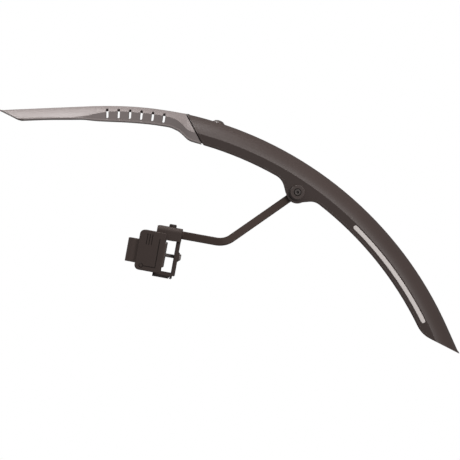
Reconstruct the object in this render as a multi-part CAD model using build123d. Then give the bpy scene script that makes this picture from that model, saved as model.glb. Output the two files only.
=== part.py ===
from build123d import *
import os
from math import sin, cos, tan, atan2, radians, degrees, sqrt

# Front mudguard for a bicycle fork.
# Frame: X points to the back of the bicycle, Y to its right side, Z up.
# Origin: halfway between the two fork-leg clamps, on the centre plane.
# All lengths in millimetres, all angles in degrees.

os.makedirs("parts", exist_ok=True)

# ---------------------------------------------------------------- blade
HUB_X, HUB_Z = -41.4, -249.6      # wheel hub: centre of the blade's arc
R_CROWN = 410.6                   # outside radius along the crown
R_CREASE = 392.7                  # crease between upper and lower band
R_EDGE = 381.9                    # lower edge of the main blade, behind the lug
R_EDGE_FRONT = 382.2              # lower edge in front of the lug
HALF_W = 30.0                     # half width at the crease
LEAN = 0.218                      # inward lean of the lower band, mm per mm
WALL = 2.0                        # main blade wall
RIM_W, RIM_H = 2.3, 0.5           # raised rim along the edges
GUARD_FROM, GUARD_TO = 9.0, 66.0  # bent from here to here, then straight
TAIL_RUN = 45.0                   # straight run of the tail before trimming

# slanted seam between the two blades (side view)
SEAM_X, SEAM_Z = 47.2, 150.9
SEAM_DX, SEAM_DZ = 0.4635, -0.8861
SEAM_GAP = 1.3

# tail end (side view)
TAIL_A = (313.4, -95.0)
TAIL_B = (346.9, -112.1)
TAIL_R = 30.0

# ---------------------------------------------------------------- pivot lug
PIV_X, PIV_Z = 169.1, 65.2        # strut pivot
LUG_R = 12.3                      # rounded foot of the lug
BOSS_R = 8.2
BOSS_OUT, BOSS_IN = 29.6, 22.2    # faces of the pivot boss
M4_R = 2.0
PIV_HEAD_R, PIV_HEAD_H = 3.5, 4.0
PIV_CBORE_R, PIV_CBORE_D = 4.2, 4.2
EYE_Y, EYE_T, EYE_R = 19.4, 5.0, 6.5
EYE_BORE = 2.06

# ---------------------------------------------------------------- reflector
REF_R0, REF_R1 = 386.8, 391.3
REF_A0, REF_A1 = 44.8, 63.5

# ---------------------------------------------------------------- extension
TONGUE_GAP = 0.35                 # tongue to main blade
TONGUE_WALL = 1.8
TONGUE_END = 29.2                 # hub angle of the tongue's end
TONGUE_LOW = 383.6
SLOT_N, SLOT_FIRST, SLOT_STEP = 6, 0.225, 1.785   # slots: hub angles
SLOT_W, SLOT_R0, SLOT_R1 = 2.75, 396.4, 406.7
RAIL_Y0, RAIL_Y1 = 8.0, 9.6       # guide rails under the crown
FRONT_ANGLE = -2.5                # where the arc turns into a straight nose

# ---------------------------------------------------------------- length lock
LOCK_A = 17.6                     # hub angle of the lock screw
LOCK_R = 2.5
LOCK_HEAD_R, LOCK_HEAD_H = 5.2, 1.75
LOCK_PAD_R, LOCK_PAD_TOP = 8.4, 0.85
TRAVEL_A = 9.0                    # pull-out of the extension

# ---------------------------------------------------------------- strut
ROD_R = 4.35
ROD_BEND = 21.0
LEG_Y = 58.0                      # fork leg, off the centre plane

# ---------------------------------------------------------------- clamp
CLAMP_TILT = 10.3                 # fork leg leans back by this much
LEG_R = 16.0                      # fork leg radius
SOCKET_W = 25.3                   # height of the strut's axis in the clamp
SOCKET_R = 4.40

HUB = Axis((HUB_X, 0, HUB_Z), (0, 1, 0))
R_ARC = (HALF_W**2 + (R_CROWN - R_CREASE) ** 2) / (2 * (R_CROWN - R_CREASE))
ARC_C = R_CROWN - R_ARC           # centre of the crown's arc, as a hub radius
SQ = sqrt(1 + LEAN**2)


def polar(a, r):
    """Side-view point at hub angle a and hub radius r."""
    return (HUB_X + r * sin(radians(a)), HUB_Z + r * cos(radians(a)))


def band_y(off, r):
    """Half width of the lower band at hub radius r, inset by off."""
    return HALF_W - LEAN * (R_CREASE - r) - off * SQ


def crease(off):
    """Crease point of the main section, inset by off."""
    rho = R_ARC - off
    c = HALF_W - LEAN * (R_CREASE - ARC_C) - off * SQ
    q = (-LEAN * c + sqrt((LEAN * c) ** 2 - SQ**2 * (c * c - rho * rho))) / SQ**2
    return (c + LEAN * q, ARC_C + q)


def section(pts):
    """Face in the hub's half plane at angle 0 from (half width, radius) edges."""
    edges = []
    for e in pts:
        if len(e) == 3:
            edges.append(ThreePointArc(*[(HUB_X, y, HUB_Z + r) for y, r in e]))
        else:
            edges.append(Line(*[(HUB_X, y, HUB_Z + r) for y, r in e]))
    return Face(Wire(edges))


def shell_face(off_o, off_i, r_low):
    yo, ro = crease(off_o)
    yi, ri = crease(off_i)
    bo, bi = band_y(off_o, r_low), band_y(off_i, r_low)
    return section([
        [(-yo, ro), (0, R_CROWN - off_o), (yo, ro)],
        [(yo, ro), (bo, r_low)],
        [(bo, r_low), (bi, r_low)],
        [(bi, r_low), (yi, ri)],
        [(yi, ri), (0, R_CROWN - off_i), (-yi, ri)],
        [(-yi, ri), (-bi, r_low)],
        [(-bi, r_low), (-bo, r_low)],
        [(-bo, r_low), (-yo, ro)],
    ])


def swept(face, a0, a1):
    """Face turned about the hub from angle a0 to a1."""
    return revolve(face.rotate(HUB, a0), HUB, a1 - a0)


def blade(face):
    """Section bent round the hub, with a straight tail."""
    run = (cos(radians(GUARD_TO)), 0, -sin(radians(GUARD_TO)))
    return swept(face, GUARD_FROM, GUARD_TO) + extrude(face.rotate(HUB, GUARD_TO), amount=TAIL_RUN, dir=run)


def ring_block(y0, y1, r0, r1, a0, a1):
    """Rectangular bar bent round the hub."""
    f = section([[(y0, r0), (y1, r0)], [(y1, r0), (y1, r1)],
                 [(y1, r1), (y0, r1)], [(y0, r1), (y0, r0)]])
    return swept(f, a0, a1)


def side(sk, half=60.0):
    """Side-view shape as a slab across the blade."""
    return extrude(Plane.XZ * sk, amount=half, both=True)


def seam_point(t, n):
    """Point on the seam: t along it (down), n towards the back."""
    return (SEAM_X + t * SEAM_DX - n * SEAM_DZ, SEAM_Z + t * SEAM_DZ + n * SEAM_DX)


def poly(*pts):
    return make_face(Polyline(*pts, close=True))


def cyl_y(x, z, r, y0, y1):
    """Cylinder along Y."""
    lo, hi = min(y0, y1), max(y0, y1)
    return Pos(x, (lo + hi) / 2, z) * Rot(90, 0, 0) * Cylinder(r, hi - lo)


def hex_y(x, z, af, y0, y1):
    lo, hi = min(y0, y1), max(y0, y1)
    pr = extrude(RegularPolygon(af / 2, 6, major_radius=False), amount=(hi - lo) / 2, both=True)
    return Pos(x, (lo + hi) / 2, z) * Rot(90, 0, 0) * pr


def round_edge(solid, xz, r):
    """Round the cross edge of a side-view slab that lies nearest to xz."""
    e = min(solid.edges().filter_by(Axis.Y),
            key=lambda g: (g.center().X - xz[0]) ** 2 + (g.center().Z - xz[1]) ** 2)
    return fillet(e, r)


def one(shape, name):
    """The single solid of a piece."""
    s = shape.solids()
    if len(s) != 1:
        s = sorted(s, key=lambda q: -q.volume)
        print(name, "has", len(s), "solids:", [round(q.volume, 2) for q in s])
    return s[0]


# ================================================================ main guard
def outline_slab(d):
    """Side-view outline of the main blade, drawn in by d, as a slab."""
    tl = sqrt((TAIL_B[0] - TAIL_A[0]) ** 2 + (TAIL_B[1] - TAIL_A[1]) ** 2)
    tx, tz = (TAIL_B[0] - TAIL_A[0]) / tl, (TAIL_B[1] - TAIL_A[1]) / tl
    ax, az = TAIL_A[0] - d * tz, TAIL_A[1] + d * tx
    ring = Pos(HUB_X, HUB_Z) * (Circle(450) - Circle(R_EDGE + d))
    ring = ring - (Pos(HUB_X, HUB_Z) * Circle(R_EDGE_FRONT + d) & poly((-60, 60), (165, 60), (165, 200), (-60, 200)))
    foot = Pos(PIV_X, PIV_Z) * Circle(LUG_R - d)
    stem_l = poly((156.5 + d, 64.0), (151.8 + d, 82.5), (165 + d, 90), (175, 66))
    stem_r = poly((169.1, 53.75 + d), (190.0, 55.5 + d), (190, 72), (165, 80))
    wedge = poly(seam_point(-45, SEAM_GAP / 2 + d), seam_point(95, SEAM_GAP / 2 + d),
                 (ax - 130 * tx, az - 130 * tz), (ax + 110 * tx, az + 110 * tz), (480, 300), (40, 300))
    slab = side((ring + foot + stem_l + stem_r) & wedge)
    slab = round_edge(slab, (152.4 + d, 79.8 + d), 18.0 + d)
    slab = round_edge(slab, (175.3, 54.4 + d), 10.0 + d)
    slab = round_edge(slab, (187.8 + d, 55.4 + d), 15.0 + d)
    slab = round_edge(slab, (305.9 + 0.8 * d, -91.2 + d), TAIL_R - d)
    return round_edge(slab, (65.1 + d, 118.0 + d), 3.0 - d * 0.8)


guard_slab = outline_slab(0.0)
rim_slab = guard_slab - outline_slab(RIM_W)
guard = blade(shell_face(0, WALL, 362.0)) & guard_slab
rim = blade(shell_face(-RIM_H, 0.4, 362.0)) & rim_slab
guard = guard + rim

for s in (-1, 1):
    boss = cyl_y(PIV_X, PIV_Z, BOSS_R, s * BOSS_IN, s * BOSS_OUT)
    boss = chamfer(boss.edges().filter_by(GeomType.CIRCLE).sort_by(Axis.Y)[0 if s < 0 else -1], 0.8)
    guard = guard + boss
for s in (-1, 1):
    guard = guard - cyl_y(PIV_X, PIV_Z, 2.2, s * 18, s * 40)
    guard = guard - cyl_y(PIV_X, PIV_Z, PIV_CBORE_R, s * (BOSS_OUT - PIV_CBORE_D), s * 40)

# flat pad and hole for the length lock on the crown
lock_pl = Plane(origin=(*[polar(LOCK_A, R_CROWN)[0]], 0, polar(LOCK_A, R_CROWN)[1]),
                x_dir=(0, 1, 0), z_dir=(sin(radians(LOCK_A)), 0, cos(radians(LOCK_A))))
pad = lock_pl * Pos(0, 0, LOCK_PAD_TOP - 1.3) * Cone(LOCK_PAD_R, LOCK_HEAD_R + 0.5, 2.6)
guard = guard + pad
guard = guard - lock_pl * Pos(0, 0, -5) * Cylinder(LOCK_R + 0.2, 30)

# recess for the reflective strips
strip = Pos(HUB_X, HUB_Z) * (Circle(REF_R1) - Circle(REF_R0))
ra0, ra1 = polar(REF_A0, 500), polar(REF_A1, 500)
strip = strip & poly((HUB_X, HUB_Z), ra0, polar((REF_A0 + REF_A1) / 2, 560), ra1)
for a in (REF_A0, REF_A1):
    ex, ez = polar(a, (REF_R0 + REF_R1) / 2)
    strip = strip + Pos(ex, ez) * Circle((REF_R1 - REF_R0) / 2)
strip_cut = offset(strip, amount=0.15)
guard = guard - (swept(shell_face(-1.5, 0.62, 384.0), 42, 66) & side(strip_cut))
main_guard = one(guard, "main_guard")

strips = swept(shell_face(-0.12, 0.60, 384.0), 42, 66) & side(strip)
left_reflector = strips.solids().sort_by(Axis.Y)[0]
right_reflector = strips.solids().sort_by(Axis.Y)[-1]

# ================================================================ extension
# Stations along the crown, from the seam to the nose.  Each gives the crown
# radius, half width and radius at the crease, half width and radius at the
# lower edge, and the wall.  Arc stations are hub angles; nose stations are lengths along
# the straight nose.
ARC_ST = [
    # angle  crown  yc    rc     yb    rb     wall
    (19.0, 410.6, 30.0, 392.7, 27.7, 382.2, 3.6),
    (18.3, 410.6, 30.0, 392.7, 27.7, 382.2, 3.6),
    (17.6, 410.6, 30.0, 392.7, 27.7, 382.2, 3.6),
    (16.9, 410.6, 30.0, 392.7, 27.7, 382.2, 3.6),
    (16.2, 410.6, 30.0, 392.7, 27.7, 382.2, 3.6),
    (15.6, 410.6, 30.0, 392.7, 27.7, 382.2, 3.6),
    (15.0, 410.6, 30.0, 392.7, 27.7, 382.2, 3.6),
    (14.4, 410.6, 30.0, 392.7, 27.7, 382.3, 3.6),
    (13.9, 410.6, 29.8, 392.9, 27.5, 382.7, 3.6),
    (13.3, 410.6, 29.2, 393.6, 26.9, 384.2, 3.6),
    (12.8, 410.6, 28.5, 395.3, 26.2, 386.3, 3.6),
    (12.3, 410.6, 27.8, 397.8, 25.4, 388.3, 3.6),
    (11.8, 410.6, 27.2, 400.0, 24.6, 390.0, 3.4),
    (11.2, 410.5, 26.6, 401.8, 23.8, 391.2, 2.8),
    (10.5, 410.5, 26.1, 403.0, 23.1, 392.3, 2.1),
    (9.5, 410.4, 25.7, 403.6, 22.5, 392.6, 1.9),
    (7.5, 410.3, 25.3, 403.9, 22.0, 392.6, 1.9),
    (5.0, 410.2, 25.0, 403.9, 21.7, 392.4, 1.9),
    (2.5, 410.0, 24.8, 403.8, 21.5, 392.4, 1.9),
    (0.8, 409.9, 24.7, 403.5, 21.5, 392.5, 1.9),
    (-0.5, 409.85, 24.6, 402.5, 21.8, 392.9, 1.9),
    (-2.0, 409.85, 24.5, 400.7, 22.4, 393.8, 1.9),
]
NOSE_ST = [
    (6.5, 409.9, 24.4, 399.1, 23.1, 395.3, 1.9),
    (18.0, 409.9, 24.3, 398.5, 23.4, 395.9, 1.9),
    (40.0, 409.95, 23.9, 399.4, 23.0, 396.8, 1.9),
    (62.0, 410.0, 22.9, 399.8, 22.0, 397.2, 1.9),
    (79.0, 410.0, 21.6, 399.95, 20.7, 397.35, 1.9),
    (94.0, 409.95, 19.6, 400.6, 18.7, 398.0, 1.9),
    (106.0, 409.9, 17.2, 401.4, 16.3, 398.8, 1.9),
]
FA = radians(FRONT_ANGLE)


def stations():
    for a, *v in ARC_ST:
        yield (HUB_X, HUB_Z, radians(a)), v
    for d, *v in NOSE_ST:
        yield (HUB_X - d * cos(FA), HUB_Z + d * sin(FA), FA), v


def place(fr, y, r):
    return (fr[0] + r * sin(fr[2]), y, fr[1] + r * cos(fr[2]))


def blade_wire(fr, v):
    """Thin arched section: crown, side panel and a bead on the lower edge."""
    top, yc, rc, yb, rb, t = v
    yd = yb + (yc - yb) * 2.4 / (rc - rb)
    bevel = 1.2 if rc - rb < 3.0 else 0.8
    half = [(yc, rc), (yd, rb + 2.4), (yd + 0.5, rb + 1.8), (yd + 0.5, rb + bevel), (yb - 0.5, rb),
            (yb - t, rb), (yc - t * 0.92, rc - t * 0.45)]
    return arched(fr, half, top, top - t)


def arched(fr, half, top, under):
    rp = [place(fr, y, r) for y, r in half]
    lp = [place(fr, -y, r) for y, r in half]
    edges = [ThreePointArc(lp[0], place(fr, 0, top), rp[0])]
    edges += [Line(rp[i], rp[i + 1]) for i in range(len(rp) - 1)]
    edges += [ThreePointArc(rp[-1], place(fr, 0, under), lp[-1])]
    edges += [Line(lp[i + 1], lp[i]) for i in reversed(range(len(lp) - 1))]
    return Wire(edges)


def rim_wire(fr, v):
    """Section of the raised rim along the nose's edge."""
    top, yc, rc, yb, rb, t = v
    half = [(yc + 0.7, rc), (yb + 0.6, rb + 0.3), (yb - 1.0, rb + 0.3), (yc - 1.0, rc - 0.4)]
    return arched(fr, half, top + 0.8, top - 0.9)


skin = Solid.make_loft([blade_wire(f, v) for f, v in stations()])

# trims in side view: shoulder at the seam, slanted nose with a raised rim
back = side(poly(seam_point(-60, -SEAM_GAP / 2), seam_point(90, -SEAM_GAP / 2), (220, 40), (220, 240)))
nq0, nq1, nq2 = (-158.4, 154.95), (-138.9, 145.15), (-131.0, 143.7)
nose = make_face([
    Line((-158.4, 172), nq0), Line(nq0, nq1),
    ThreePointArc(nq1, (-135.4, 144.25), nq2),
    Line(nq2, (-131.0, 120)), Line((-131.0, 120), (-190, 120)), Line((-190, 120), (-190, 172)),
    Line((-190, 172), (-158.4, 172)),
])
skin = one(skin - back, "extension skin")
rim = Solid.make_loft([rim_wire(f, v) for f, v in list(stations())[-4:]])
rim = rim & side(poly((-162.0, 158.4), (-138.2, 146.5), (-141.0, 143.0), (-165.0, 155.0)))
skin = one(skin + rim, "extension skin")
skin = one(skin - side(nose), "extension skin")

t_out, t_in = WALL + TONGUE_GAP, WALL + TONGUE_GAP + TONGUE_WALL
tongue_slab = side(poly(seam_point(-40, -SEAM_GAP / 2 - 4.5), polar(TONGUE_END, 480),
                        polar(TONGUE_END, 340), seam_point(80, -SEAM_GAP / 2 - 4.5)))
tongue = swept(shell_face(t_out, t_in, TONGUE_LOW), 8, TONGUE_END + 2) & tongue_slab
ext = skin + tongue
for s in (-1, 1):
    y0, y1 = sorted((s * RAIL_Y0, s * RAIL_Y1))
    ext = ext + ring_block(y0, y1, 404.0, 408.3, FRONT_ANGLE + 0.6, 12.0)
    ext = ext + ring_block(y0, y1, 404.0, 405.7, 11.0, TONGUE_END - 0.4)

# slots through both side panels
for i in range(SLOT_N):
    a = SLOT_FIRST + i * SLOT_STEP
    cx, cz = polar(a, (SLOT_R0 + SLOT_R1) / 2)
    sl = Pos(cx, cz) * Rot(0, 0, -a) * SlotOverall(SLOT_R1 - SLOT_R0, SLOT_W, rotation=90)
    ext = ext - extrude(Plane.XZ.offset(13.0) * sl, amount=27)
    ext = ext - extrude(Plane.XZ.offset(-40.0) * sl, amount=27)

# slot in the tongue for the lock screw
hw = degrees((LOCK_R + 0.7) / 406.0)
ext = ext - ring_block(-LOCK_R - 0.3, LOCK_R + 0.3, 396, 409.2, LOCK_A - hw, LOCK_A + TRAVEL_A + hw)

# small thumb lip on the shoulder
lip_slab = side(poly(seam_point(-20, -SEAM_GAP / 2 - 1.6), seam_point(-20, SEAM_GAP / 2 - 0.2),
                     seam_point(20, SEAM_GAP / 2 - 0.2), seam_point(20, -SEAM_GAP / 2 - 1.6)), 8.0)
ext = ext + (swept(shell_face(-0.15, t_out + 0.5, TONGUE_LOW), 8, 20) & lip_slab)

front_extension = one(ext, "front_extension")

# ================================================================ length lock
hz = LOCK_PAD_TOP + 0.1
rs = (LOCK_HEAD_R**2 + (LOCK_HEAD_H - 0.45) ** 2) / (2 * (LOCK_HEAD_H - 0.45))
dome = Pos(0, 0, LOCK_HEAD_H - rs) * Sphere(rs)
head = Cylinder(LOCK_HEAD_R, LOCK_HEAD_H, align=(Align.CENTER, Align.CENTER, Align.MIN)) & dome
sock = extrude(RegularPolygon(1.5, 6, major_radius=False), amount=3)
lock = Pos(0, 0, hz) * (head - Pos(0, 0, LOCK_HEAD_H - 1.2) * sock)
lock = lock + Pos(0, 0, hz + 0.5 - 11.5) * Cylinder(LOCK_R, 11.5, align=(Align.CENTER, Align.CENTER, Align.MIN))
length_lock_screw = one(lock_pl * lock, "length_lock_screw")
nutp = Box(14.6, 15.0, 3.0) - Cylinder(LOCK_R + 0.05, 10)
nutp = chamfer(nutp.edges().filter_by(Axis.Z), 1.2)
length_lock_nut = one(lock_pl * Pos(0, 0, 403.4 - R_CROWN) * nutp, "length_lock_nut")

# ================================================================ pivot and strut
TILT = radians(CLAMP_TILT)


def clamp_plane(y):
    """Clamp frame: x to the back, z along the fork leg, origin on its axis."""
    return Plane(origin=(0, y, 0), x_dir=(cos(TILT), 0, -sin(TILT)), z_dir=(sin(TILT), 0, cos(TILT)))


def clamp_xz(u, w):
    return (u * cos(TILT) + w * sin(TILT), -u * sin(TILT) + w * cos(TILT))


STRUT_END_U = 20.4
CORNER = clamp_xz(86.1, SOCKET_W)
el = sqrt((CORNER[0] - PIV_X) ** 2 + (CORNER[1] - PIV_Z) ** 2)
EX, EZ = (CORNER[0] - PIV_X) / el, (CORNER[1] - PIV_Z) / el
FLAT_R = 17.0
BAR_Y = 2.4                       # half the thickness of the strut's flat run
BAR_END_U = 40.2                  # where it turns round, just outside the socket


def bar_slab(s):
    """Slab that follows the strut from the eye out to the fork leg."""
    mid = [(-40, EYE_Y), (19.5, EYE_Y), (el, LEG_Y), (el + 90, LEG_Y)]
    pts = [(e, y + BAR_Y) for e, y in mid] + [(e, y - BAR_Y) for e, y in reversed(mid)]
    face = make_face(Polyline(*pts, close=True))
    face = fillet([v for v in face.vertices() if 0 < v.X < el + 1], 18.0)
    pl = Plane(origin=(PIV_X, 0, PIV_Z), x_dir=(EX, 0, EZ), z_dir=(-s * EZ, 0, s * EX))
    return extrude(pl * face, amount=120, both=True)


def make_strut(s):
    def q(d):
        return (PIV_X + d * EX, s * EYE_Y, PIV_Z + d * EZ)
    tx, tz = clamp_xz(STRUT_END_U, SOCKET_W)
    path = FilletPolyline(q(8.0), q(19.5), (CORNER[0], s * LEG_Y, CORNER[1]), (tx, s * LEG_Y, tz),
                          radius=[14.0, ROD_BEND])
    rod = sweep(Plane(origin=path @ 0, z_dir=path % 0) * Circle(ROD_R), path=path)
    # flat sides between the eye and the socket
    sides = clamp_plane(s * LEG_Y) * ubox(BAR_END_U, 300, -80, 80, -100, 150) - bar_slab(s)
    rod = rod - sides
    for k in (-1, 1):
        rod = rod - cyl_y(PIV_X, PIV_Z, FLAT_R, s * EYE_Y + k * EYE_T / 2, s * EYE_Y + k * 20)
    eye = cyl_y(PIV_X, PIV_Z, EYE_R, s * EYE_Y - EYE_T / 2, s * EYE_Y + EYE_T / 2)
    neck = Plane(origin=(PIV_X, s * EYE_Y, PIV_Z), x_dir=(EX, 0, EZ), z_dir=(0, 1, 0)) * Pos(7.5, 0, 0) * Box(15, 2 * ROD_R, EYE_T)
    st = rod + eye + neck
    st = st - cyl_y(PIV_X, PIV_Z, EYE_BORE, s * EYE_Y - 10, s * EYE_Y + 10)
    st = st - clamp_plane(s * LEG_Y) * Pos(26.85, 0, SOCKET_W) * Cylinder(M4_R + 0.1, 20)
    ends = chamfer_end(st, (tx, s * LEG_Y, tz))
    return one(ends, "strut")


def chamfer_end(st, p):
    e = [g for g in st.edges().filter_by(GeomType.CIRCLE) if (g.arc_center - Vector(*p)).length < 0.05]
    return chamfer(e, 0.8) if e else st


def make_pivot(s):
    h0 = BOSS_OUT - PIV_CBORE_D
    scr = cyl_y(PIV_X, PIV_Z, PIV_HEAD_R, s * h0, s * (h0 + PIV_HEAD_H))
    scr = chamfer(scr.edges().filter_by(GeomType.CIRCLE).sort_by(Axis.Y)[0 if s < 0 else -1], 0.4)
    scr = scr - hex_y(PIV_X, PIV_Z, 3.0, s * (h0 + PIV_HEAD_H - 2.2), s * (h0 + PIV_HEAD_H + 1))
    shank = cyl_y(PIV_X, PIV_Z, M4_R, s * 11.6, s * (h0 + 0.5))
    shank = chamfer(shank.edges().filter_by(GeomType.CIRCLE).sort_by(Axis.Y)[-1 if s < 0 else 0], 0.4)
    scr = scr + shank
    wash = cyl_y(PIV_X, PIV_Z, 4.5, s * 15.8, s * 16.6) - cyl_y(PIV_X, PIV_Z, M4_R + 0.15, s * 10, s * 20)
    nut = hex_y(PIV_X, PIV_Z, 7.0, s * 12.6, s * 15.8) - cyl_y(PIV_X, PIV_Z, M4_R + 0.04, s * 8, s * 20)
    return one(scr, "pivot_screw"), one(wash, "pivot_washer"), one(nut, "pivot_nut")


# ================================================================ clamp
def ubox(u0, u1, y0, y1, w0, w1):
    return Pos((u0 + u1) / 2, (y0 + y1) / 2, (w0 + w1) / 2) * Box(abs(u1 - u0), abs(y1 - y0), abs(w1 - w0))


def ucyl(r, u0, u1, y, w):
    """Cylinder along the clamp's x."""
    return Pos((u0 + u1) / 2, y, w) * Rot(0, 90, 0) * Cylinder(r, abs(u1 - u0))


def wcyl(r, w0, w1, u=0, y=0):
    return Pos(u, y, (w0 + w1) / 2) * Cylinder(r, abs(w1 - w0))


M_U0, M_U1, M_Y, M_W0, M_W1 = -6.7, 22.0, 21.0, -20.1, 24.3
SEAT_U1 = 18.7                    # back of the seat between the cheeks
H_U0, H_U1, H_Y, H_W0, H_W1 = 10.7, 38.15, 15.0, 17.3, 32.1
V_U0, V_U1, V_Y, V_W0 = 33.9, 38.0, 8.5, -20.5
TENS_W = 0.65                     # height of the tension screw
BAND_H, BAND_T = 13.0, 2.2
PAD_T = 1.2
CHEEK_IN = 18.6
LOCK_U = 26.85
YOKE_U = 19.6                     # front face of the yoke
BOSS_U = 39.5                     # face of the tension screw's boss


def make_bracket():
    m = ubox(M_U0, M_U1, -M_Y, M_Y, M_W0, M_W1)
    m = fillet([e for e in m.edges().filter_by(Axis.Y) if e.center().X < M_U0 + 0.1], 5.2)
    m = fillet([e for e in m.edges().filter_by(Axis.Y) if e.center().X > M_U1 - 0.1], 1.2)
    m = fillet([e for e in m.edges() if abs(abs(e.center().Y) - M_Y) < 0.01], 0.9)
    # fork leg seat, open to the front, and the gap behind it for the yoke
    m = m - wcyl(LEG_R, -40, 50) - ubox(-30, 0, -LEG_R, LEG_R, -40, 50)
    m = m - ubox(SEAT_U1, 40, -CHEEK_IN, CHEEK_IN, -40, 50)
    # room for the pad and the band
    m = m - (wcyl(LEG_R + PAD_T + 0.05, -13.4, 13.4) & ubox(0, 40, -15.2, 15.2, -20, 20))
    for s in (-1, 1):
        y0, y1 = sorted((s * 15.2, s * CHEEK_IN))
        m = m - ubox(-20, 30, y0, y1, -13.4, 13.4)
    # strut socket
    h = ubox(H_U0, H_U1, -H_Y, H_Y, H_W0, H_W1)
    top = [e for e in h.edges().filter_by(Axis.X) if e.center().Z > H_W1 - 0.1]
    h = fillet(top, 5.2)
    h = fillet([e for e in h.edges() if e.center().X > H_U1 - 0.01 and e.center().Z > H_W0 + 0.1], 0.9)
    h = h - wcyl(LEG_R, M_W0, M_W1) - wcyl(LEG_R + 0.6, M_W1 - 0.001, 60)
    # rear bar, bottom bar and ledge
    v = ubox(V_U0, V_U1, -V_Y, V_Y, V_W0, H_W0 + 2)
    v = fillet(v.edges().filter_by(Axis.Z), 0.8)
    b = ubox(SEAT_U1 - 1.5, V_U0 + 1, -V_Y, V_Y, -20.35, -17.8)
    p = ubox(13.3, 35.2, -V_Y, V_Y, -24.1, M_W0 + 0.6)
    p = p - ubox(32.0, 33.2, -20, 20, -26, -22.0)
    p = p - wcyl(LEG_R + 0.6, -30, M_W0) - wcyl(LEG_R, M_W0, 0)
    boss = Pos((V_U1 - 0.5 + BOSS_U) / 2, 0, TENS_W) * Rot(0, 90, 0) * Cone(6.0, 4.3, BOSS_U - V_U1 + 0.5)
    br = m + h + v + b + p + boss
    # strut socket bore, screw holes, nut pocket
    br = br - ucyl(SOCKET_R, 20.2, 60, 0, SOCKET_W)
    br = br - wcyl(M4_R + 0.1, 10, 40, LOCK_U, 0)
    br = br - Pos(LOCK_U, 0, 15.0) * extrude(RegularPolygon(3.6, 6, major_radius=False), amount=4.3)
    br = br - ucyl(1.98, 30, 60, 0, TENS_W)
    # moulded lines on both cheeks
    for s in (-1, 1):
        y0, y1 = sorted((s * (M_Y - 0.6), s * (M_Y + 1)))
        br = br - ubox(15.2, 16.2, y0, y1, -15.5, 17.0)
        for u in (1.4, 4.2, 7.0):
            br = br - ubox(u, u + 0.9, y0, y1, 8.5, 20.5)
        br = br - ubox(3.0, 15.2, y0, y1, -15.5, -14.6)
        rg = Pos(0.2, s * (M_Y - 0.3), -15.1) * Rot(90, 0, 0) * (Cylinder(2.5, 0.6) - Cylinder(1.7, 0.6))
        br = br - rg
    return one(br, "clamp_bracket")


def make_pad():
    p = wcyl(LEG_R + PAD_T, -13.3, 13.3) - wcyl(LEG_R, -20, 20)
    p = p & ubox(0, 40, -15.1, 15.1, -20, 20)
    # grip grooves round the leg
    for i in range(7):
        w = -10.5 + 3.5 * i
        p = p - wcyl(LEG_R + 0.45, w - 0.55, w + 0.55)
    return one(p, "grip_pad")


def make_band():
    ring = (wcyl(LEG_R + BAND_T, -BAND_H, BAND_H) - wcyl(LEG_R, -30, 30)) & ubox(-40, 0, -40, 40, -30, 30)
    b = ring
    for s in (-1, 1):
        y0, y1 = sorted((s * LEG_R, s * (LEG_R + BAND_T)))
        b = b + ubox(0, 23.7, y0, y1, -BAND_H, BAND_H)
    b = fillet([e for e in b.edges() if abs(abs(e.center().Z) - BAND_H) < 0.01 and e.center().X < 23.0], 0.6)
    b = b - ubox(YOKE_U - 0.05 + 0.5, YOKE_U + 0.5 + 1.95, -40, 40, -4.05, 4.05)
    return one(b, "clamp_band")


def make_yoke():
    y = ubox(YOKE_U, YOKE_U + 4.5, -15.9, 15.9, -13.2, 14.5)
    y = fillet(y.edges().filter_by(Axis.X), 1.5)
    y = fillet([e for e in y.edges() if e.center().X > YOKE_U + 4.49], 0.6)
    y = y + ubox(YOKE_U + 0.5, YOKE_U + 2.4, -18.2, 18.2, -4.0, 4.0)
    return one(y - ucyl(1.98, 10, 30, 0, TENS_W), "band_yoke")


def make_tension():
    sh = ucyl(1.9, YOKE_U + 0.15, BOSS_U + 0.3, 0, TENS_W)
    hd = ucyl(3.4, BOSS_U + 0.1, BOSS_U + 1.8, 0, TENS_W)
    hd = fillet(hd.edges().filter_by(GeomType.CIRCLE).sort_by(Axis.X)[-1], 0.8)
    sock = Pos(BOSS_U + 0.7, 0, TENS_W) * Rot(0, 90, 0) * extrude(RegularPolygon(1.25, 6, major_radius=False), amount=3)
    return one(sh + hd - sock, "tension_screw")


def make_strut_lock():
    hd = wcyl(3.7, H_W1, H_W1 + 3.2, LOCK_U, 0)
    hd = fillet(hd.edges().filter_by(GeomType.CIRCLE).sort_by(Axis.Z)[-1], 1.3)
    sock = Pos(LOCK_U, 0, H_W1 + 1.4) * extrude(RegularPolygon(1.5, 6, major_radius=False), amount=5)
    sc = hd + wcyl(M4_R, 17.4, H_W1 + 0.5, LOCK_U, 0) - sock
    nt = Pos(LOCK_U, 0, 17.05) * extrude(RegularPolygon(3.5, 6, major_radius=False), amount=2.2)
    nt = nt - wcyl(M4_R + 0.04, 10, 30, LOCK_U, 0)
    return one(sc, "strut_lock_screw"), one(nt, "strut_lock_nut")


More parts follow.
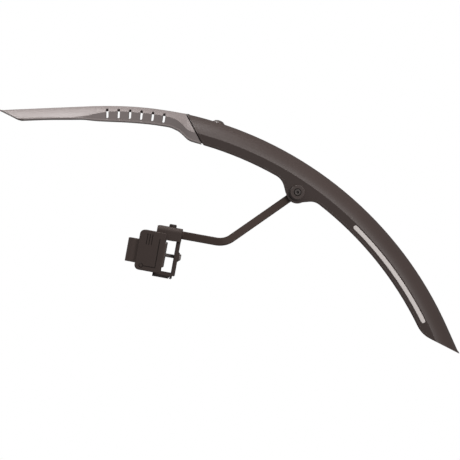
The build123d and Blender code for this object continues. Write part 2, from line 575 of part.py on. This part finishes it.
# ================================================================ write
nodes = {
    "main_guard": main_guard,
    "front_extension": front_extension,
    "left_reflector": left_reflector,
    "right_reflector": right_reflector,
    "length_lock_screw": length_lock_screw,
    "length_lock_nut": length_lock_nut,
}
bracket, gpad, band, yoke, tension = make_bracket(), make_pad(), make_band(), make_yoke(), make_tension()
slock, slnut = make_strut_lock()
for sname, s in (("left", -1), ("right", 1)):
    loc = clamp_plane(s * LEG_Y)
    scr, wash, nut = make_pivot(s)
    nodes[sname + "_pivot_screw"] = scr
    nodes[sname + "_pivot_washer"] = wash
    nodes[sname + "_pivot_nut"] = nut
    nodes[sname + "_strut"] = make_strut(s)
    nodes[sname + "_clamp_bracket"] = loc * bracket
    nodes[sname + "_grip_pad"] = loc * gpad
    nodes[sname + "_clamp_band"] = loc * band
    nodes[sname + "_band_yoke"] = loc * yoke
    nodes[sname + "_tension_screw"] = loc * tension
    nodes[sname + "_strut_lock_screw"] = loc * slock
    nodes[sname + "_strut_lock_nut"] = loc * slnut
for name, shape in nodes.items():
    export_step(shape, f"parts/{name}.step")
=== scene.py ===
import math

import bmesh
import bpy
from mathutils import Matrix, Vector


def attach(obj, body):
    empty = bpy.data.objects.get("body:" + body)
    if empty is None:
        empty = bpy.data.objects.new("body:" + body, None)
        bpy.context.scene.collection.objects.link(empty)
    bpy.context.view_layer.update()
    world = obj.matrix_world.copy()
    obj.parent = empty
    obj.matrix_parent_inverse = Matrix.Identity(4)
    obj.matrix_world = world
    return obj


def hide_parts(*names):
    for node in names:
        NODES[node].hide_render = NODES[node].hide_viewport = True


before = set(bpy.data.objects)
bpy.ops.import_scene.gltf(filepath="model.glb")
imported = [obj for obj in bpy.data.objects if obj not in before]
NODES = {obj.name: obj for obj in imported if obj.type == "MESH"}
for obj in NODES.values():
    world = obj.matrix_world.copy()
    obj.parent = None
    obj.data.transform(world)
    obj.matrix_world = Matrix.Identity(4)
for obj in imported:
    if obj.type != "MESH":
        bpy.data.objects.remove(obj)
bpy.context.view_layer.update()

# ------------------------------------------------------------------ helpers
SIDES = (("left", -1.0), ("right", 1.0))
TILT = math.radians(10.3)
U = Vector((math.cos(TILT), 0.0, -math.sin(TILT)))      # clamp: to the back
W = Vector((math.sin(TILT), 0.0, math.cos(TILT)))       # clamp: up the fork leg
Y = Vector((0.0, 1.0, 0.0))


def mesh_object(name, bm, material):
    """New object from a bmesh, smooth where it is round."""
    bmesh.ops.recalc_face_normals(bm, faces=bm.faces)
    me = bpy.data.meshes.new(name)
    bm.to_mesh(me)
    bm.free()
    me.polygons.foreach_set("use_smooth", [True] * len(me.polygons))
    me.set_sharp_from_angle(angle=math.radians(38))
    ob = bpy.data.objects.new(name, me)
    bpy.context.scene.collection.objects.link(ob)
    me.materials.append(material)
    return ob


# ------------------------------------------------------------------ materials
class Tree:
    """Short way to write a node tree."""

    def __init__(self, name):
        self.mat = bpy.data.materials.new(name)
        self.mat.use_nodes = True
        self.nt = self.mat.node_tree
        self.bsdf = next(n for n in self.nt.nodes if n.type == "BSDF_PRINCIPLED")
        self.pos = None

    def node(self, kind, **values):
        n = self.nt.nodes.new(kind)
        for k, v in values.items():
            if hasattr(n, k) and k not in n.inputs.keys():
                setattr(n, k, v)
            else:
                n.inputs[k].default_value = v
        return n

    def link(self, a, b):
        self.nt.links.new(a, b)

    def coord(self):
        if self.pos is None:
            self.pos = self.node("ShaderNodeTexCoord").outputs["Object"]
        return self.pos

    def noise(self, scale, detail=3.0, rough=0.55, vector=None):
        n = self.node("ShaderNodeTexNoise")
        n.inputs["Scale"].default_value = scale
        n.inputs["Detail"].default_value = detail
        n.inputs["Roughness"].default_value = rough
        self.link(vector or self.coord(), n.inputs["Vector"])
        return n.outputs["Fac"]

    def remap(self, value, lo, hi, out_lo, out_hi):
        n = self.node("ShaderNodeMapRange")
        n.inputs["From Min"].default_value = lo
        n.inputs["From Max"].default_value = hi
        n.inputs["To Min"].default_value = out_lo
        n.inputs["To Max"].default_value = out_hi
        self.link(value, n.inputs["Value"])
        return n.outputs["Result"]

    def math(self, op, a, b=None):
        n = self.node("ShaderNodeMath")
        n.operation = op
        for i, v in enumerate((a, b)):
            if v is None:
                continue
            if isinstance(v, (int, float)):
                n.inputs[i].default_value = v
            else:
                self.link(v, n.inputs[i])
        return n.outputs[0]

    def mix(self, fac, a, b):
        n = self.node("ShaderNodeMix")
        n.data_type = "RGBA"
        self.link(fac, n.inputs[0])
        for sock, v in ((n.inputs[6], a), (n.inputs[7], b)):
            if isinstance(v, tuple):
                sock.default_value = (*v, 1.0)
            else:
                self.link(v, sock)
        return n.outputs[2]

    def bump(self, height, strength, distance, normal=None):
        n = self.node("ShaderNodeBump")
        n.inputs["Strength"].default_value = strength
        n.inputs["Distance"].default_value = distance
        self.link(height, n.inputs["Height"])
        if normal is not None:
            self.link(normal, n.inputs["Normal"])
        return n.outputs["Normal"]

    def round_edges(self, radius):
        n = self.node("ShaderNodeBevel")
        n.samples = 6
        n.inputs["Radius"].default_value = radius
        return n.outputs["Normal"]


def tint(c, k):
    return tuple(min(1.0, v * k) for v in c)


def moulded(name, colour, rough, grain, depth, spec=0.4, vary=0.07, edge=0.0003, painted_shade=()):
    """Moulded plastic: spark-eroded grain, slow flow marks, soft edges. The last argument lists (mask, colour,
    roughness) patches of painted shade, darker colour laid where shade falls.
    """
    t = Tree(name)
    flow = t.noise(9.0, 4.0, 0.6)
    fine = t.noise(grain, 2.0, 0.5)
    cells = t.node("ShaderNodeTexVoronoi")
    cells.feature = "SMOOTH_F1"
    cells.inputs["Scale"].default_value = grain * 0.55
    cells.inputs["Smoothness"].default_value = 0.6
    t.link(t.coord(), cells.inputs["Vector"])
    tone = t.math("ADD", t.math("MULTIPLY", flow, 0.65), t.math("MULTIPLY", fine, 0.35))
    tone = t.remap(tone, 0.32, 0.68, 0.0, 1.0)
    base = t.mix(tone, tint(colour, 1 - vary), tint(colour, 1 + vary))
    gloss = t.remap(t.math("ADD", fine, t.math("MULTIPLY", flow, 0.6)), 0.45, 1.1, rough - 0.06, rough + 0.07)
    for mask, colour2, rough2 in painted_shade:
        where = mask(t)
        base = t.mix(where, base, t.mix(tone, tint(colour2, 1 - vary), tint(colour2, 1 + vary)))
        gloss = t.math("ADD", gloss, t.math("MULTIPLY", where, rough2 - rough))
    t.link(base, t.bsdf.inputs["Base Color"])
    t.link(gloss, t.bsdf.inputs["Roughness"])
    height = t.math("ADD", t.math("MULTIPLY", cells.outputs["Distance"], 0.8), t.math("MULTIPLY", fine, 0.5))
    t.link(t.bump(height, 0.35, depth, t.round_edges(edge)), t.bsdf.inputs["Normal"])
    t.bsdf.inputs["Specular IOR Level"].default_value = spec
    return t.mat


def metal(name, colour, rough, streak, metallic=1.0, spec=0.5, edge=0.00025, vary=0.12):
    """Drawn or plated metal: fine streaks, slightly uneven finish."""
    t = Tree(name)
    m = t.node("ShaderNodeMapping")
    m.inputs["Scale"].default_value = streak
    t.link(t.coord(), m.inputs["Vector"])
    lines = t.noise(1.0, 3.0, 0.65, m.outputs["Vector"])
    cloud = t.noise(60.0, 3.0, 0.5)
    both = t.math("ADD", t.math("MULTIPLY", lines, 0.6), t.math("MULTIPLY", cloud, 0.4))
    t.link(t.mix(t.remap(both, 0.3, 0.7, 0.0, 1.0), tint(colour, 1 - vary), tint(colour, 1 + vary)),
           t.bsdf.inputs["Base Color"])
    t.link(t.remap(both, 0.3, 0.7, rough - 0.07, rough + 0.08), t.bsdf.inputs["Roughness"])
    t.link(t.bump(lines, 0.18, 0.00003, t.round_edges(edge)), t.bsdf.inputs["Normal"])
    t.bsdf.inputs["Metallic"].default_value = metallic
    t.bsdf.inputs["Specular IOR Level"].default_value = spec
    return t.mat


def reflective(name, colour):
    """Prismatic reflective strip: small diamond cells under a clear face."""
    t = Tree(name)
    m = t.node("ShaderNodeMapping")
    m.inputs["Rotation"].default_value = (0.0, math.radians(55.0), 0.0)
    m.inputs["Scale"].default_value = (640.0, 640.0, 370.0)
    t.link(t.coord(), m.inputs["Vector"])
    cell = t.node("ShaderNodeTexVoronoi")
    cell.feature = "DISTANCE_TO_EDGE"
    cell.inputs["Scale"].default_value = 1.0
    cell.inputs["Randomness"].default_value = 0.0
    t.link(m.outputs["Vector"], cell.inputs["Vector"])
    web = t.remap(cell.outputs["Distance"], 0.02, 0.16, 0.0, 1.0)
    cloud = t.noise(25.0, 3.0, 0.5)
    body = t.mix(t.remap(cloud, 0.3, 0.7, 0.0, 1.0), tint(colour, 0.97), tint(colour, 1.02))
    t.link(t.mix(web, tint(colour, 0.88), body), t.bsdf.inputs["Base Color"])
    t.link(t.remap(cloud, 0.3, 0.7, 0.28, 0.38), t.bsdf.inputs["Roughness"])
    t.link(t.bump(web, 0.25, 0.00006, t.round_edges(0.0002)), t.bsdf.inputs["Normal"])
    t.bsdf.inputs["Coat Weight"].default_value = 0.35
    t.bsdf.inputs["Coat Roughness"].default_value = 0.12
    return t.mat


def plane_distance(t, nx, nz, d):
    """nx x + nz z - d, in object space."""
    sep = t.node("ShaderNodeSeparateXYZ")
    t.link(t.coord(), sep.inputs[0])
    s = t.math("ADD", t.math("MULTIPLY", sep.outputs["X"], nx), t.math("MULTIPLY", sep.outputs["Z"], nz))
    return t.math("SUBTRACT", s, d)


SEAM = (0.0472, 0.1509)
SEAM_N = (0.8861, 0.4635)


def painted_seam_shadow(t):
    """1 behind the shoulder, where the extension slides inside the main blade; the dark colour here is a painted shadow
    that draws the seam gap.
    """
    n = plane_distance(t, SEAM_N[0], SEAM_N[1], SEAM[0] * SEAM_N[0] + SEAM[1] * SEAM_N[1])
    return t.remap(n, -0.00062, -0.00052, 0.0, 1.0)


def painted_shade_near_shoulder(t):
    """0 along the blade, rising to 1 at the shoulder; painted shade, darkening the extension towards the shoulder as
    the light falls off.
    """
    n = plane_distance(t, SEAM_N[0], SEAM_N[1], SEAM[0] * SEAM_N[0] + SEAM[1] * SEAM_N[1])
    return t.remap(n, -0.060, -0.012, 0.0, 1.0)


def painted_shade_nose_slant(t):
    """1 on a painted shade line along the nose's slanted edge, standing in for the shadowed lower lip."""
    front = t.remap(plane_distance(t, 1.0, 0.0, 0.0), -0.1400, -0.1380, 1.0, 0.0)
    return t.math("MULTIPLY", front, t.remap(plane_distance(t, 0.4490, 0.8935, 0.06733), 0.00150, 0.00170, 1.0, 0.0))


def painted_shade_nose_corner(t):
    """1 where that painted shade line turns into the bead on the lower edge."""
    front = t.remap(plane_distance(t, 1.0, 0.0, 0.0), -0.1325, -0.1300, 1.0, 0.0)
    return t.math("MULTIPLY", front, t.remap(plane_distance(t, 0.1805, 0.9836, 0.11770), 0.00125, 0.00145, 1.0, 0.0))


def painted_shadow_on_ledge(t):
    """1 on the ledge under the clamp's saddle, which gets a painted shadow."""
    return t.remap(plane_distance(t, 0.1788, 0.98388, 0.0), -0.0212, -0.0208, 1.0, 0.0)


def painted_shade_in_lines(t):
    """1 in the moulded lines on the clamps' cheeks, which get painted shade in their recesses."""
    sep = t.node("ShaderNodeSeparateXYZ")
    t.link(t.coord(), sep.inputs[0])
    y = t.math("ABSOLUTE", t.math("SUBTRACT", t.math("ABSOLUTE", sep.outputs["Y"]), 0.058))
    u, w = plane_distance(t, 0.98388, -0.1788, 0.0), plane_distance(t, 0.1788, 0.98388, 0.0)
    where = t.remap(y, 0.0206, 0.0208, 1.0, 0.0)
    for v, lo, hi in ((y, 0.0195, None), (u, -0.0055, 0.0206), (w, -0.0189, 0.0229)):
        where = t.math("MULTIPLY", where, t.remap(v, lo, lo + 0.0002, 0.0, 1.0))
        if hi is not None:
            where = t.math("MULTIPLY", where, t.remap(v, hi, hi + 0.0002, 1.0, 0.0))
    return where


def painted_shade_on_boss(t):
    """1 on the bosses round the pivot screws, which get painted shade to bring their faces down to the lug's tone."""
    sep = t.node("ShaderNodeSeparateXYZ")
    t.link(t.coord(), sep.inputs[0])
    dx, dz = t.math("SUBTRACT", sep.outputs["X"], 0.1691), t.math("SUBTRACT", sep.outputs["Z"], 0.0652)
    r = t.math("SQRT", t.math("ADD", t.math("MULTIPLY", dx, dx), t.math("MULTIPLY", dz, dz)))
    return t.remap(r, 0.0060, 0.0067, 1.0, 0.0)


# guard: painted shade darkens the pivot bosses
GUARD = moulded("guard_plastic_look", (0.0650, 0.0460, 0.0415), 0.43, 2300.0, 0.00012, spec=0.65,
                painted_shade=[(painted_shade_on_boss, (0.0560, 0.0378, 0.0332), 0.50)])
# extension: painted shade darkens it towards the shoulder, a painted shadow colours the tongue for the seam line, and a
# painted shade line runs along the nose's slanted edge and corner
EXTENSION = moulded("extension_plastic_look", (0.310, 0.265, 0.259), 0.45, 2600.0, 0.00004, spec=0.6, vary=0.03,
                    painted_shade=[(painted_shade_near_shoulder, (0.262, 0.224, 0.219), 0.47), (painted_seam_shadow, (0.064, 0.049, 0.045), 0.55),
                              (painted_shade_nose_corner, (0.105, 0.078, 0.072), 0.50), (painted_shade_nose_slant, (0.042, 0.030, 0.027), 0.52)])
# clamp: painted shadow on the ledge under the saddle, painted shade in the moulded lines
CLAMP = moulded("clamp_plastic_look", (0.0590, 0.0416, 0.0366), 0.56, 1900.0, 0.00014, spec=0.3,
                painted_shade=[(painted_shadow_on_ledge, (0.026, 0.0185, 0.0165), 0.62), (painted_shade_in_lines, (0.036, 0.0255, 0.0225), 0.62)])
# band: the clamp's plastic lightened as painted light, for the light its face turns away from
BAND_PAINTED_LIGHT = moulded("band_painted_light_look", (0.0960, 0.0682, 0.0600), 0.56, 1900.0, 0.00014, spec=0.3)
RUBBER = moulded("pad_rubber_look", (0.030, 0.027, 0.026), 0.78, 1500.0, 0.00018, spec=0.2, vary=0.12, edge=0.0002)
STRUT = metal("strut_look", (0.0665, 0.0480, 0.0418), 0.62, (240.0, 2600.0, 2600.0), metallic=0.0, spec=0.05, vary=0.08)
BLACK = metal("black_oxide_look", (0.105, 0.090, 0.085), 0.42, (900.0, 900.0, 900.0), metallic=0.25)
HEAD = metal("lock_head_look", (0.040, 0.030, 0.027), 0.50, (900.0, 900.0, 900.0), metallic=0.0, spec=0.3)
LOCK = metal("lock_screw_look", (0.200, 0.176, 0.169), 0.42, (900.0, 900.0, 900.0), metallic=0.7)
# tension screw: lighter than the black oxide parts as painted light, for the shade in the clamp's window
SCREW = metal("tension_screw_painted_light_look", (0.250, 0.220, 0.210), 0.40, (900.0, 900.0, 900.0), metallic=0.25)
ZINC = metal("zinc_look", (0.55, 0.54, 0.52), 0.34, (700.0, 1500.0, 700.0))
REFLECT = reflective("reflector_look", (0.98, 0.912, 0.888))

LOOK = {
    "main_guard": GUARD, "front_extension": EXTENSION,
    "left_reflector": REFLECT, "right_reflector": REFLECT,
    "length_lock_screw": LOCK, "length_lock_nut": ZINC,
}
for s, _ in SIDES:
    LOOK.update({
        s + "_pivot_screw": BLACK, s + "_pivot_washer": ZINC, s + "_pivot_nut": ZINC,
        s + "_strut": STRUT, s + "_clamp_bracket": CLAMP, s + "_clamp_band": BAND_PAINTED_LIGHT,
        s + "_grip_pad": RUBBER, s + "_band_yoke": BLACK, s + "_tension_screw": SCREW,
        s + "_strut_lock_screw": HEAD, s + "_strut_lock_nut": ZINC,
    })
for n, mat in LOOK.items():
    me = NODES[n].data
    if me.materials:
        for i in range(len(me.materials)):
            me.materials[i] = mat
    else:
        me.materials.append(mat)

# ------------------------------------------------------------------ tension screws
SEG = 36
PITCH, CREST, CORE = 0.00070, 0.00190, 0.00152
SHAFT0, SHAFT1, HEAD0, HEAD1, HEAD_R = 0.01975, 0.03960, 0.03960, 0.04130, 0.00340
SCREW_W = 0.00065


def hexagon(apothem):
    return lambda a: apothem / math.cos((a % (math.pi / 3)) - math.pi / 6)


def thread(u):
    """Radius round the shaft at distance u: a 60 degree thread with flat crests and roots, run out at the tip."""
    lead = min(1.0, (u - SHAFT0) / 0.0008)

    def radius(a):
        ph = (u / PITCH - a / (2 * math.pi)) % 1.0
        d = abs(ph - 0.5) * 2.0                    # 0 on the crest, 1 in the root
        f = min(1.0, max(0.0, (0.82 - d) / 0.66))
        return min(CORE + (CREST - CORE) * f, 0.00118 + 0.00072 * lead)
    return radius


def screw_rings():
    steps = int(round((SHAFT1 - SHAFT0) / (PITCH / 8)))
    rings = [(SHAFT0, lambda a: 0.00005)]
    rings += [(SHAFT0 + (SHAFT1 - SHAFT0) * i / steps, thread(SHAFT0 + (SHAFT1 - SHAFT0) * i / steps))
              for i in range(steps + 1)]
    rings += [(HEAD0, lambda a: HEAD_R - 0.0002), (HEAD0 + 0.0002, lambda a: HEAD_R)]
    f = 0.0008
    for i in range(7):
        b = math.pi / 2 * i / 6
        rings.append((HEAD1 - f + f * math.sin(b), lambda a, r=HEAD_R - f + f * math.cos(b): r))
    rings += [(HEAD1, hexagon(0.00137)), (HEAD1 - 0.00012, hexagon(0.00125)),
              (HEAD1 - 0.00110, hexagon(0.00125)), (HEAD1 - 0.00145, lambda a: 0.00004)]
    return rings


def tension_screw(name, y, material):
    bm = bmesh.new()
    rows = []
    for u, radius in screw_rings():
        row = []
        for k in range(SEG):
            a = 2 * math.pi * k / SEG
            r = radius(a)
            row.append(bm.verts.new(U * u + W * (SCREW_W + r * math.cos(a)) + Y * (y + r * math.sin(a))))
        rows.append(row)
    for r0, r1 in zip(rows, rows[1:]):
        for k in range(SEG):
            bm.faces.new((r0[k], r0[(k + 1) % SEG], r1[(k + 1) % SEG], r1[k]))
    bm.faces.new(rows[0])
    bm.faces.new(rows[-1])
    return mesh_object(name, bm, material)


for s, k in SIDES:
    piece = tension_screw(s + "_tension_screw_threaded", k * 0.058, SCREW)
    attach(piece, s + "_tension")
    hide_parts(s + "_tension_screw")

# ------------------------------------------------------------------ stage
bm = bmesh.new()
bmesh.ops.create_grid(bm, x_segments=2, y_segments=2, size=1.0)
for v in bm.verts:
    v.co = Vector((0.1 + v.co.x * 3.0, -0.4 + v.co.y * 2.6, -0.34))
floor_mat = Tree("floor_look")
floor_mat.bsdf.inputs["Roughness"].default_value = 0.9
floor_mat.bsdf.inputs["Specular IOR Level"].default_value = 0.1
floor_mat.link(floor_mat.mix(floor_mat.noise(3.0, 3.0, 0.5), (0.70, 0.70, 0.69), (0.76, 0.76, 0.75)),
               floor_mat.bsdf.inputs["Base Color"])
floor_mat.bsdf.inputs["Emission Color"].default_value = (1.0, 0.99, 0.98, 1.0)
floor_mat.bsdf.inputs["Emission Strength"].default_value = 0.40
floor = mesh_object("floor", bm, floor_mat.mat)
floor.visible_diffuse = False       # the object is lit by the room and the softboxes only
floor.visible_glossy = False

# ------------------------------------------------------------------ light
world = bpy.data.worlds.new("studio")
bpy.context.scene.world = world
world.use_nodes = True
wt = world.node_tree
wt.nodes.clear()
tc = wt.nodes.new("ShaderNodeTexCoord")
sep = wt.nodes.new("ShaderNodeSeparateXYZ")
wt.links.new(tc.outputs["Generated"], sep.inputs[0])


def wmath(op, a, b):
    n = wt.nodes.new("ShaderNodeMath")
    n.operation = op
    for i, v in enumerate((a, b)):
        if isinstance(v, (int, float)):
            n.inputs[i].default_value = v
        else:
            wt.links.new(v, n.inputs[i])
    return n.outputs[0]


# room light: the pale table is brighter than the ceiling
slope = wmath("MULTIPLY", sep.outputs["Z"], 0.55)
ramp = wt.nodes.new("ShaderNodeMapRange")
ramp.interpolation_type = "SMOOTHSTEP"
ramp.inputs["From Min"].default_value = -0.35
ramp.inputs["From Max"].default_value = 0.35
ramp.inputs["To Min"].default_value = 0.29
ramp.inputs["To Max"].default_value = 0.095
wt.links.new(slope, ramp.inputs["Value"])
room = wt.nodes.new("ShaderNodeBackground")
room.inputs["Color"].default_value = (1.0, 0.985, 0.975, 1.0)
wt.links.new(ramp.outputs[0], room.inputs["Strength"])
white = wt.nodes.new("ShaderNodeBackground")
white.inputs["Color"].default_value = (1.0, 1.0, 1.0, 1.0)
white.inputs["Strength"].default_value = 1.0
path = wt.nodes.new("ShaderNodeLightPath")
pick = wt.nodes.new("ShaderNodeMixShader")
out = wt.nodes.new("ShaderNodeOutputWorld")
wt.links.new(path.outputs["Is Camera Ray"], pick.inputs[0])
wt.links.new(room.outputs[0], pick.inputs[1])
wt.links.new(white.outputs[0], pick.inputs[2])
wt.links.new(pick.outputs[0], out.inputs[0])


def softbox(name, loc, target, size, power, colour=(1.0, 0.99, 0.98), spread=180.0):
    li = bpy.data.lights.new(name, "AREA")
    li.shape = "RECTANGLE"
    li.size, li.size_y = size
    li.energy = power
    li.color = colour
    li.spread = math.radians(spread)
    ob = bpy.data.objects.new(name, li)
    bpy.context.scene.collection.objects.link(ob)
    ob.location = loc
    ob.rotation_mode = "QUATERNION"
    ob.rotation_quaternion = (Vector(target) - Vector(loc)).to_track_quat("-Z", "Y")
    return ob


AIM = (0.06, 0.0, 0.06)
softbox("overhead", (-0.06, -0.04, 1.95), AIM, (0.5, 0.4), 21.5)
softbox("fill_right", (1.209, -1.436, 0.539), AIM, (0.8, 0.8), 16.0)
softbox("upper_right", (0.843, -1.174, 1.332), AIM, (0.8, 0.6), 6.4)
softbox("left", (-1.420, -0.493, 1.145), AIM, (0.5, 0.5), 6.7)
softbox("back", (-0.418, 0.860, 1.685), AIM, (0.6, 0.5), 4.0)

# ------------------------------------------------------------------ camera
cam_data = bpy.data.cameras.new("camera")
cam = bpy.data.objects.new("camera", cam_data)
bpy.context.scene.collection.objects.link(cam)
DIST = 10.0
cam_data.sensor_width = 36.0
cam_data.sensor_fit = "HORIZONTAL"
cam_data.lens = 36.0 * DIST / 0.506
cam_data.clip_start, cam_data.clip_end = 0.1, 100.0
cam.location = (0.0950, -DIST, 0.0238)
cam.rotation_euler = (math.radians(90.0), 0.0, 0.0)
bpy.context.scene.camera = cam
bpy.context.scene.view_settings.view_transform = "Standard"
